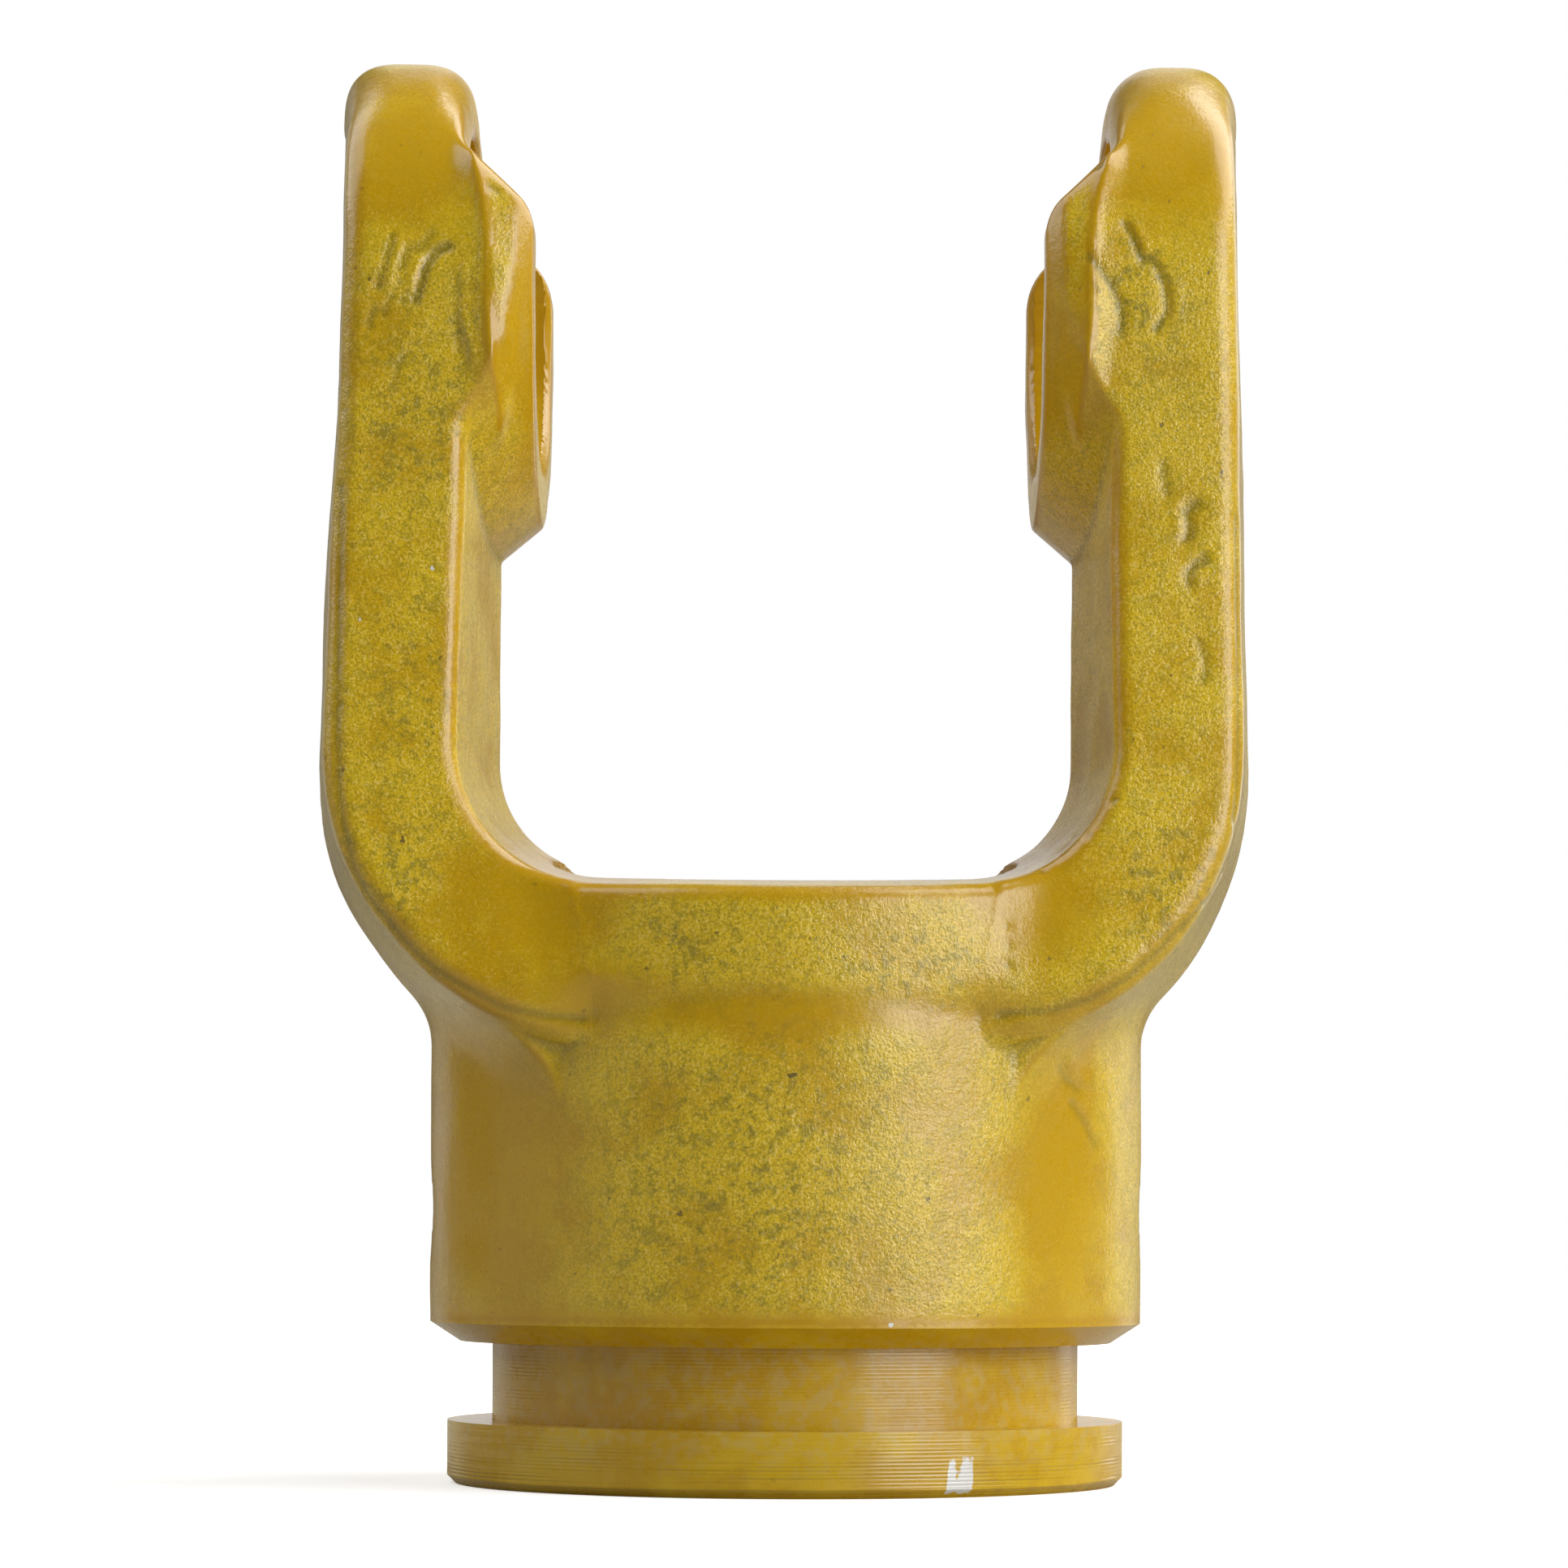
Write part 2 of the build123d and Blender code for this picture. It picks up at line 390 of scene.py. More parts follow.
# Folds and laps that the dies left on the front, each a line of columns and rows of the
# photograph: height of the ridge (below zero, depth of the groove) and half width in millimetres.
LEFT_EAR_LINES = (
    (-0.22, 0.36, ((485, 291), (478, 317), (471, 340), (466, 352))),
    (0.16, 0.42, ((490, 296), (484, 318), (476, 342))),
    (-0.34, 0.42, ((552, 303), (537, 310), (527, 322), (521, 334), (518, 348), (513, 362),
                   (512, 370))),
    (0.14, 0.40, ((518, 322), (513, 338), (508, 356))),
    (-0.16, 0.45, ((530, 288), (525, 299), (517, 307), (504, 306), (497, 320), (493, 329))),
    (-0.18, 0.34, ((492, 347), (483, 359), (476, 371), (473, 388))),
    (0.14, 0.34, ((486, 350), (477, 362), (470, 376))),
    (-0.16, 0.32, ((464, 380), (457, 389), (455, 403))),
    (-0.16, 0.32, ((503, 357), (497, 372))),
    (-0.14, 0.34, ((497, 437), (490, 455), (486, 469))),
    (0.13, 0.40, ((503, 405), (497, 424), (489, 440))),
    (0.30, 0.34, ((572, 330), (570, 348), (571, 362), (570, 383), (573, 397), (579, 418),
                  (583, 444))),
    (-0.12, 0.50, ((566, 345), (565, 372), (563, 392), (566, 430))),
    (0.16, 0.80, ((625, 332), (622, 362), (619, 390), (622, 410))),
    (0.10, 0.45, ((525, 389), (520, 399), (517, 411))),
)
RIGHT_EAR_LINES = (
    (-0.27, 0.34, ((1387, 276), (1396, 291), (1403, 306), (1409, 323))),
    (0.14, 0.45, ((1396, 277), (1404, 292), (1411, 308))),
    (-0.24, 0.36, ((1417, 317), (1426, 328), (1434, 349), (1438, 368), (1440, 384), (1432, 394),
                   (1425, 406))),
    (0.12, 0.50, ((1446, 350), (1449, 370), (1448, 388))),
    (-0.20, 0.46, ((1342, 316), (1356, 331), (1368, 349), (1380, 371), (1383, 391), (1382, 406))),
)
ARM_LINES = (
    (-0.16, 0.50, ((1434, 572), (1434, 592), (1438, 607))),
    (-0.22, 0.60, ((1475, 620), (1460, 632), (1465, 649), (1462, 662))),
    (0.14, 0.50, ((1450, 622), (1453, 640), (1452, 655))),
    (-0.26, 0.50, ((1485, 689), (1471, 698), (1465, 710), (1469, 722))),
    (0.20, 0.40, ((1474, 708), (1473, 722))),
    (-0.14, 0.45, ((1478, 790), (1486, 815), (1483, 838))),
    (-0.12, 0.60, ((1308, 1318), (1318, 1334), (1330, 1342))),
    (-0.12, 0.60, ((1322, 1360), (1336, 1380), (1350, 1412))),
    (0.10, 0.60, ((1318, 1300), (1330, 1322), (1342, 1336))),
)

# The line that the dies' parted edge left along the outside of the fork's front
FORK_LINES = (
    (-0.17, 0.42, ((419, 600), (417, 760), (415, 880), (417, 972), (422, 1014), (436, 1070),
                   (450, 1099), (478, 1135), (506, 1169), (534, 1194), (576, 1219), (619, 1242),
                   (675, 1252), (717, 1256))),
    (-0.17, 0.42, ((1525, 640), (1527, 800), (1527, 930), (1521, 1010), (1508, 1075),
                   (1482, 1115), (1447, 1152), (1417, 1182), (1386, 1207), (1343, 1231),
                   (1294, 1246), (1233, 1250))),
    (-0.06, 1.10, ((717, 1256), (790, 1240), (870, 1228), (966, 1224), (1060, 1229),
                   (1150, 1241), (1233, 1250))),
)

# Pits, whose floors take painted shade through the folds' mask: column and row of the photograph,
# radius and depth in millimetres
PITS = (
    (605, 230, 0.60, 0.20), (614, 236, 0.40, 0.15), (1353, 204, 0.60, 0.20),
    (422, 505, 0.45, 0.15), (434, 672, 0.42, 0.22), (529, 698, 0.34, 0.15),
    (540, 704, 0.34, 0.15), (443, 762, 0.45, 0.15), (496, 801, 0.38, 0.20),
    (510, 797, 0.34, 0.20), (426, 850, 0.42, 0.18), (422, 866, 0.36, 0.15),
    (827, 1156, 0.40, 0.20), (838, 1166, 0.34, 0.16), (852, 1150, 0.34, 0.12),
    (1141, 1203, 0.34, 0.16), (1125, 1196, 0.34, 0.12), (1240, 1142, 0.36, 0.14),
    (1243, 1166, 0.40, 0.14), (1243, 1190, 0.44, 0.20), (1465, 951, 0.40, 0.16),
    (1390, 902, 0.38, 0.14), (1372, 986, 0.48, 0.20), (1284, 1074, 0.46, 0.12),
    (714, 1635, 0.34, 0.10), (1097, 1636, 0.32, 0.10), (534, 1202, 0.40, 0.14),
    (605, 1012, 0.36, 0.10), (1320, 356, 0.34, 0.10), (1404, 405, 0.32, 0.12),
    (1414, 1165, 0.36, 0.12), (1340, 1030, 0.34, 0.14),
)

# Chips down to the bare steel, and, for the three smallest, painted highlights where the pits catch a
# glint: column and row of the photograph, and radius in millimetres
CHIPS_AND_GLINTS = (
    (1184, 1826, 0.95), (1181, 1815, 0.60), (1190, 1834, 0.60), (1172, 1836, 0.45),
    (1097, 1634, 0.20), (443, 762, 0.22), (533, 699, 0.22),
)


def distance_to_line(places, line):
    """Distance of each point from a line of straight runs."""
    nearest = np.full(len(places), np.inf)
    for start, end in zip(line[:-1], line[1:]):
        along = end - start
        t = np.clip((places - start) @ along / (along @ along), 0, 1)
        gap = np.linalg.norm(places - start - t[:, None] * along, axis=1)
        nearest = np.minimum(nearest, gap)
    return nearest


def forging_relief(places, front):
    """Height of the folds, laps and pits over the plain skin."""
    relief = np.zeros(len(places))
    for height, half_width, spots in LEFT_EAR_LINES + RIGHT_EAR_LINES + ARM_LINES + FORK_LINES:
        line = [front.place(*spot) for spot in spots]
        line = [point for point in line if point is not None]
        middle = np.mean(line, axis=0)
        reach = max(np.linalg.norm(point - middle) for point in line) + 4 * half_width * MM
        near = np.linalg.norm(places - middle, axis=1) < reach
        gap = distance_to_line(places[near], line) / (FOLD_WIDENING * half_width * MM)
        relief[near] += FOLD_RAISING * height * MM * np.exp(-gap * gap)
    for column, row, radius, depth in PITS:
        middle = front.place(column, row)
        if middle is not None:
            gap = np.linalg.norm(places - middle, axis=1) / (radius * MM)
            relief -= depth * MM * np.exp(-gap * gap)
    return relief


# Patches of smooth paint as seen from the front, in millimetres: middle across, middle up, half width,
# half height. Their darker warm tone is smooth paint, and also painted shade on the hub's sides, at the
# crotch corners and under the band's crease. The back has the same patches the other way round.
SMOOTH_AND_SHADED_PATCHES = (
    (-36.6, 131.5, 9.0, 8.5), (37.8, 131.5, 9.0, 8.5), (-24.6, 56.0, 7.5, 8.0), (25.0, 57.0, 6.0, 6.0),
    (-29.5, 30.0, 10.0, 18.0), (27.0, 27.7, 5.0, 16.0), (0.0, 46.4, 20.0, 2.6), (-20.0, 48.0, 8.0, 4.0),
)
GRIMY_PATCHES = (
    (-3.5, 30.5, 13.0, 15.0), (-39.5, 60.5, 4.5, 6.0), (38.0, 58.5, 5.0, 6.0), (-37.0, 105.0, 6.0, 7.0),
    (-10.0, 53.0, 6.0, 4.0), (13.0, 50.5, 6.0, 3.5), (34.0, 117.0, 4.0, 6.0), (-37.0, 78.0, 4.0, 8.0),
)


def patch_share(places, patches):
    """How far each point lies in any of the patches."""
    far = places[:, 1] > 0
    across = np.where(far, -places[:, 0], places[:, 0])
    depth = CAMERA_DISTANCE - np.abs(places[:, 1])
    spread = CAMERA_DISTANCE / depth
    across = across * spread / MM
    up = ((places[:, 2] - CAMERA_HEIGHT) * spread + CAMERA_HEIGHT) / MM
    share = np.zeros(len(places))
    for middle_across, middle_up, half_width, half_height in patches:
        reach = np.hypot((across - middle_across) / half_width, (up - middle_up) / half_height)
        share = np.maximum(share, smooth_step(1.7, 0.3, reach))
    return share


def chip_and_glint_share(places, front):
    """How far each point lies in one of the paint's chips, or in one of the small painted highlights.
    """
    share = np.zeros(len(places))
    for column, row, radius in CHIPS_AND_GLINTS:
        middle = front.place(column, row)
        if middle is not None:
            gap = np.linalg.norm(places - middle, axis=1) / (radius * MM)
            share = np.maximum(share, smooth_step(1.6, 0.4, gap))
    return share


def even_shine(mesh):
    """Give the bored faces the normals of their true cylinders."""
    corners = rows(mesh.loops, "vertex_index", 1, np.int32)[:, 0]
    normals = rows(mesh.corner_normals, "vector", 3).astype(float)
    starts = rows(mesh.polygons, "loop_start", 1, np.int32)[:, 0]
    facing = rows(mesh.polygon_normals, "vector", 3)
    sides = np.diff(np.append(starts, len(corners)))
    spots = vertex_places(mesh)[corners]
    middles = np.add.reduceat(spots, starts) / sides[:, None]
    to_axis = middles * [0, -1, -1] + [0, 0, BORE_HEIGHT]
    lean = (to_axis * facing).sum(axis=1) / np.maximum(bore_distance(middles), MM)
    bored = (np.abs(bore_distance(middles) - BORE_RADIUS) < 0.25 * MM) & (lean > 0.985)
    bored &= np.abs(middles[:, 0]) > BORE_INNER_END
    chosen = np.repeat(bored, sides)
    inward = spots[chosen] * [0, -1, -1] + [0, 0, BORE_HEIGHT]
    normals[chosen] = inward / np.maximum(np.linalg.norm(inward, axis=1), MM)[:, None]
    mesh.normals_split_custom_set(normals.tolist())


def with_turned_end(mesh):
    """Swap the skin of the hub's end for true lathe-cut surfaces, one smooth strip for each cut."""
    build = bmesh.new()
    build.from_mesh(mesh)
    old = [
        vert for vert in build.verts
        if vert.co.z < SHOULDER_TOP - 0.05 * MM
        and vert.co.xy.length > (END_FACE_EDGE if vert.co.z < 0.1 * MM else GROOVE_RADIUS - 1 * MM)
    ]
    bmesh.ops.delete(build, geom=old, context="VERTS")
    turns = np.linspace(0, 2 * math.pi, TURNED_SIDES, endpoint=False)
    profile = [(END_FACE_EDGE - 1 * MM, 0), *turned_profile()]
    profile[-1] = (HUB_RADIUS - 0.02 * MM, SHOULDER_TOP + 1.2 * MM)
    for start, end in zip(profile[:-1], profile[1:]):
        lower, upper = (
            [
                build.verts.new((radius * math.cos(turn), radius * math.sin(turn), height))
                for turn in turns
            ]
            for radius, height in (start, end)
        )
        for k in range(TURNED_SIDES):
            build.faces.new((lower[k - 1], lower[k], upper[k], upper[k - 1]))
    build.to_mesh(mesh)
    build.free()


def paint_masks(mesh, front):
    """Say for each vertex how grainy, warm (smooth paint and painted shade), grimy and turned its paint
    is, where the outer walls take a painted pale reflection, and where chips and small painted
    highlights lie.
    """
    places = vertex_places(mesh)
    normals = vertex_normals(mesh)
    forged = forged_share(places)
    smooth = patch_share(places, SMOOTH_AND_SHADED_PATCHES)
    outward = normals[:, 0] * np.sign(places[:, 0])
    # The outer walls carry a painted pale reflection, besides less grain
    outer_wall = smooth_step(0.75, 0.95, outward) * (places[:, 2] > FLARE_FOOT)
    boss = smooth_step(0.2, 0.45, -outward) * smooth_step(98 * MM, 106 * MM, places[:, 2])
    smooth = np.maximum(smooth, 0.8 * boss)
    height = places[:, 2]
    on_rim = hub_distance(places) > COLLAR_RADIUS - 0.5 * MM
    collar = (height < COLLAR_HEIGHT - 0.3 * MM) & on_rim
    groove = (height > COLLAR_HEIGHT) & (height < GROOVE_TOP)
    add_mask(mesh, "grain", forged * (1 - 0.8 * smooth) * (1 - 0.5 * outer_wall))
    add_mask(mesh, "smooth", smooth)
    add_mask(mesh, "outer_wall", outer_wall)
    add_mask(mesh, "grime", patch_share(places, GRIMY_PATCHES) * forged)
    add_mask(mesh, "chip_and_glint", chip_and_glint_share(places, front))
    add_mask(mesh, "collar", collar.astype(float))
    add_mask(mesh, "groove", groove.astype(float))


class Wiring:
    """Short calls to add and join the nodes of one material or group."""

    def __init__(self, tree):
        self.tree = tree

    def node(self, kind, **settings):
        item = self.tree.nodes.new(kind)
        for name, value in settings.items():
            setattr(item, name, value)
        return item

    def feed(self, socket, value):
        if isinstance(value, bpy.types.NodeSocket):
            self.tree.links.new(value, socket)
        else:
            socket.default_value = value

    def math(self, operation, first, second=0.0, clamp=False):
        item = self.node("ShaderNodeMath", operation=operation, use_clamp=clamp)
        self.feed(item.inputs[0], first)
        self.feed(item.inputs[1], second)
        return item.outputs[0]

    def times(self, first, *others):
        """The product of two or more values."""
        for other in others:
            first = self.math("MULTIPLY", first, other)
        return first

    def attribute(self, name):
        return self.node("ShaderNodeAttribute", attribute_name=name).outputs["Fac"]

    def scaled(self, vector, factor):
        item = self.node("ShaderNodeVectorMath", operation="SCALE")
        self.feed(item.inputs[0], vector)
        self.feed(item.inputs["Scale"], factor)
        return item.outputs[0]

    def noise(self, vector, scale, detail=2.0, roughness=0.5, stretch=None):
        if stretch:
            mapping = self.node("ShaderNodeMapping")
            mapping.inputs["Scale"].default_value = stretch
            self.feed(mapping.inputs["Vector"], vector)
            vector = mapping.outputs[0]
        item = self.node("ShaderNodeTexNoise")
        self.feed(item.inputs["Vector"], vector)
        item.inputs["Scale"].default_value = scale
        item.inputs["Detail"].default_value = detail
        item.inputs["Roughness"].default_value = roughness
        return item.outputs[0]

    def range(self, value, low, high, to_low=0.0, to_high=1.0):
        item = self.node("ShaderNodeMapRange", interpolation_type="SMOOTHSTEP")
        for socket, number in zip(item.inputs, (value, low, high, to_low, to_high)):
            self.feed(socket, number)
        return item.outputs[0]

    def mix(self, share, first, second, blend="MIX"):
        item = self.node("ShaderNodeMix", data_type="RGBA", blend_type=blend)
        self.feed(item.inputs["Factor"], share)
        self.feed(item.inputs[6], first)
        self.feed(item.inputs[7], second)
        return item.outputs[2]


def skin_waves():
    """Geometry nodes that give the forged skin its slow waves and its coarse hammered relief."""
    tree = bpy.data.node_groups.new("forged_skin", "GeometryNodeTree")
    face = tree.interface
    face.new_socket("Geometry", in_out="INPUT", socket_type="NodeSocketGeometry")
    for name in ("Wave Height", "Wave Size", "Ripple Height", "Ripple Size"):
        face.new_socket(name, in_out="INPUT", socket_type="NodeSocketFloat")
    face.new_socket("Geometry", in_out="OUTPUT", socket_type="NodeSocketGeometry")
    wiring = Wiring(tree)
    source = wiring.node("NodeGroupInput").outputs
    position = wiring.node("GeometryNodeInputPosition").outputs[0]
    normal = wiring.node("GeometryNodeInputNormal").outputs[0]
    forged = wiring.node("GeometryNodeInputNamedAttribute", data_type="FLOAT")
    forged.inputs["Name"].default_value = "forged"

    def relief(kind, detail):
        """Noise of one size, centred on zero and scaled to its height."""
        place = wiring.scaled(position, wiring.math("DIVIDE", 1.0, source[kind + " Size"]))
        centred = wiring.math("SUBTRACT", wiring.noise(place, 1.0, detail), 0.5)
        return wiring.times(centred, source[kind + " Height"])

    both = wiring.math("ADD", relief("Wave", 1.0), relief("Ripple", 2.0))
    shift = wiring.node("GeometryNodeSetPosition")
    wiring.feed(shift.inputs["Geometry"], source["Geometry"])
    wiring.feed(shift.inputs["Offset"], wiring.scaled(normal, wiring.times(both, forged.outputs[0])))
    wiring.feed(wiring.node("NodeGroupOutput").inputs[0], shift.outputs[0])
    return tree


def set_input(modifier, name, value):
    """Set a geometry nodes input by its name."""
    for item in modifier.node_group.interface.items_tree:
        if item.in_out == "INPUT" and item.name == name:
            modifier[item.identifier] = value


def keep_inside(mesh, box):
    """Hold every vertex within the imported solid's own box."""
    low, high = (np.array(corner) for corner in box)
    move_vertices(mesh, np.clip(vertex_places(mesh), low, high))


def forged_yoke():
    """The painted forging: softened dies' edges, waves, folds and pits over true turned surfaces."""
    obj = solid_copy("yoke", "forged_yoke")
    mesh = obj.data
    places = vertex_places(mesh)
    edges = rows(mesh.edges, "vertices", 2, np.int32)
    forged = forged_share(places)
    pull = SOFTENING * forged
    places = soften(places, edges, pull, EDGE_ROUNDS)
    places = soften(places, edges, SOFTENING * bore_mouth_share(places), BORE_MOUTH_ROUNDS)
    places = ears_into_bosses(places)
    places = soften(places, edges, pull * boss_root_share(places), BOSS_ROOT_ROUNDS)
    places = ear_tops_rounded(places)
    places = soften(places, edges, pull * ear_top_share(places), EAR_TOP_ROUNDS)
    places = arms_as_forged(hub_into_arms(onto_bores(onto_turned_profile(places))))
    move_vertices(mesh, places)
    turn = bend(places, vertex_normals(mesh), edges, BEND_ROUNDS)
    # Painted shade on the convex edges and in the hollows, from how the skin bends
    add_mask(mesh, "edge", smooth_step(BEND_START, BEND_FULL, turn))
    add_mask(mesh, "hollow_shade", smooth_step(-BEND_START, -BEND_FULL, turn))
    front = Front(obj)
    relief = forging_relief(places, front) * forged
    # Painted shade where folds and pits run deep
    add_mask(mesh, "fold_shade", (-relief - FOLD_SHADE_START) / FOLD_SHADE_DEPTH)
    places = places + vertex_normals(mesh) * relief[:, None]
    move_vertices(mesh, places)
    add_mask(mesh, "forged", forged)
    waves = obj.modifiers.new("forged_skin", "NODES")
    waves.node_group = skin_waves()
    set_input(waves, "Wave Height", WAVE_HEIGHT)
    set_input(waves, "Wave Size", WAVE_SIZE)
    set_input(waves, "Ripple Height", RIPPLE_HEIGHT)
    set_input(waves, "Ripple Size", RIPPLE_SIZE)
    applied(obj)
    triangles = 2 * len(obj.data.polygons)
    if triangles > MOST_TRIANGLES:
        thin = obj.modifiers.new("thinned_skin", "DECIMATE")
        thin.ratio = MOST_TRIANGLES / triangles
        applied(obj)
    with_turned_end(obj.data)
    keep_inside(obj.data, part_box("yoke"))
    obj.data.shade_smooth()
    paint_masks(obj.data, front)
    even_shine(obj.data)
    return obj


# Paint, as it renders under plain light, with the colours of its painted shade, reflection and
# highlights among it
WARM_PAINT = (0.550, 0.322, 0.002, 1)
OLIVE_PAINT = (0.720, 0.492, 0.012, 1)
# Dark tone of real grime, and of painted shade in dents, folds, pits, hollows and lathe cuts
GRIME_AND_SHADE = (0.130, 0.120, 0.020, 1)
PIT_FLOOR = (0.050, 0.038, 0.018, 1)
# Bare steel of the chips; in the smallest marks it is a painted highlight
BARE_STEEL_AND_GLINT = (0.74, 0.73, 0.71, 1)
# Pale dust in the groove, and a painted pale reflection on the outer walls
PALE_DUST_AND_SHEEN = (0.56, 0.48, 0.27, 1)
GREEN_PAINT = (0.40, 0.325, 0.008, 1)
# Painted shade of the rounded edges, which reflect the dark surroundings
EDGE_SHADE = (0.46, 0.235, 0.002, 1)
# Painted highlight on the peaks of the blasted grain
PAINTED_GLINT = (0.88, 0.72, 0.24, 1)

# Masks that the yoke's vertices carry for the paint
PAINT_MASKS = (
    "grain", "smooth", "outer_wall", "grime", "chip_and_glint", "collar", "groove", "edge", "hollow_shade", "fold_shade",
)

# Pitch of the lathe cuts in millimetres, and depth of the relief under the paint
TURNING_PITCH = 0.36
PAINT_RELIEF = 0.11 * MM

# Studio paper as the camera sees it, and as it shows in the gloss
PALE_PAPER = (0.82, 0.82, 0.82, 1)
DARK_PAPER = (0.42, 0.40, 0.34, 1)
FLOOR_HALF = 3.0


def worn_masks(wiring, place, patch):
    """The paint's masks, with uneven borders and with less grain on the edges."""
    masks = {name: wiring.attribute(name) for name in PAINT_MASKS}
    uneven_edge = wiring.math("SUBTRACT", wiring.noise(place, 0.35, 4.0, 0.65), 0.5)
    masks["smooth"] = wiring.range(wiring.math("ADD", masks["smooth"], uneven_edge), 0.05, 1.15)
    off_edge = wiring.math("SUBTRACT", 1.0, wiring.times(masks["edge"], 0.75))
    patchy = wiring.range(patch, 0.30, 0.50, 0.55, 1.0)
    masks["grain"] = wiring.times(masks["grain"], off_edge, patchy)
    return masks


def paint_tones(wiring, masks, clump, patch):
    """Warm, olive and green tones, with painted shade on the edges and in the hollows."""
    olive = wiring.range(patch, 0.38, 0.62, -0.15, 0.45)
    olive = wiring.math("ADD", olive, wiring.times(masks["grain"], 0.75))
    # Smooth patches take the darker warm tone: smooth paint, and painted shade on the hub's sides, the
    # crotch corners and under the band's crease
    olive = wiring.math("SUBTRACT", olive, wiring.times(masks["smooth"], 0.5), clamp=True)
    colour = wiring.mix(olive, WARM_PAINT, OLIVE_PAINT)
    green = wiring.times(wiring.range(clump, 0.44, 0.62), masks["grain"], 0.32)
    colour = wiring.mix(green, colour, GREEN_PAINT)
    # Painted shade on the convex edges
    colour = wiring.mix(wiring.times(masks["edge"], 0.5), colour, EDGE_SHADE)
    # Painted shade in the hollows
    return wiring.mix(wiring.times(masks["hollow_shade"], 0.35), colour, GRIME_AND_SHADE)


def grain_shade_glints_and_dirt(wiring, colour, masks, shot, pebble, clump, speck):
    """Painted shade in the dents and painted highlights on the peaks of the blasted skin, painted shade
    in the folds and pits, dirt and pin specks.
    """
    grain = masks["grain"]
    # Painted shade in the dents of the blasted grain
    colour = wiring.mix(wiring.times(wiring.range(shot, 0.52, 0.36), grain, 0.42), colour, GRIME_AND_SHADE)
    # Painted shade in the deep folds and pits
    colour = wiring.mix(wiring.times(masks["fold_shade"], 0.55), colour, GRIME_AND_SHADE)
    # Painted highlight on the grain's peaks
    painted_glint = wiring.times(wiring.range(shot, 0.54, 0.68), grain, 0.45)
    colour = wiring.mix(painted_glint, colour, PAINTED_GLINT)
    blotch = wiring.times(wiring.range(clump, 0.46, 0.66), wiring.range(pebble, 0.30, 0.62))
    grimy = wiring.times(blotch, masks["grime"], 0.40)
    dirt = wiring.math("ADD", grimy, wiring.times(blotch, grain, 0.08))
    colour = wiring.mix(dirt, colour, GRIME_AND_SHADE)
    dotted = wiring.math("ADD", grain, 0.25, clamp=True)
    dots = wiring.times(wiring.range(speck, 0.72, 0.77), dotted, 0.7)
    return wiring.mix(dots, colour, PIT_FLOOR)


def turning_cuts(wiring, masks, place):
    """Fine cuts that the lathe tool left round the collar and, fainter, in the groove."""
    height = wiring.node("ShaderNodeSeparateXYZ")
    wiring.feed(height.inputs[0], place)
    turning = wiring.math("SINE", wiring.times(height.outputs["Z"], 2 * math.pi / TURNING_PITCH))
    uneven = wiring.noise(place, 0.25, 2.0, 0.5, stretch=(0.2, 0.2, 9.0))
    turned = wiring.math("ADD", masks["collar"], wiring.times(masks["groove"], 0.2))
    return wiring.times(turning, wiring.range(uneven, 0.35, 0.65), turned)


def sheen_dust_cuts_and_chips(wiring, colour, masks, cuts, pebble, clump):
    """Painted pale reflection on the outer walls, pale dust in the groove, painted shade in the lathe
    cuts, and chips to bare steel with small painted highlights.
    """
    # Painted pale reflection on the outer walls, and pale dust in the groove
    in_groove = wiring.times(wiring.range(clump, 0.45, 0.62), masks["groove"], 0.25)
    dust_and_sheen = wiring.math("ADD", in_groove, wiring.times(masks["outer_wall"], 0.48))
    colour = wiring.mix(dust_and_sheen, colour, PALE_DUST_AND_SHEEN)
    # Painted shade in the lathe cuts
    colour = wiring.mix(wiring.times(wiring.range(cuts, 0.1, 1.0), 0.45), colour, GRIME_AND_SHADE)
    # Chips to bare steel, and painted highlights in the smallest marks
    ragged = wiring.math("ADD", masks["chip_and_glint"], wiring.times(pebble, 0.5))
    return wiring.mix(wiring.range(ragged, 0.66, 0.76), colour, BARE_STEEL_AND_GLINT)


def paint_relief(wiring, masks, cuts, shot, pebble):
    """Bump of the blasted grain and the lathe cuts under the paint."""
    blasted = wiring.math("ADD", pebble, wiring.times(shot, 0.75))
    height = wiring.math("ADD", wiring.times(blasted, masks["grain"]), wiring.times(cuts, -0.20))
    bump = wiring.node("ShaderNodeBump")
    bump.inputs["Strength"].default_value = 1.0
    bump.inputs["Distance"].default_value = PAINT_RELIEF
    wiring.feed(bump.inputs["Height"], wiring.math("ADD", height, wiring.times(pebble, 0.08)))
    return bump.outputs[0]


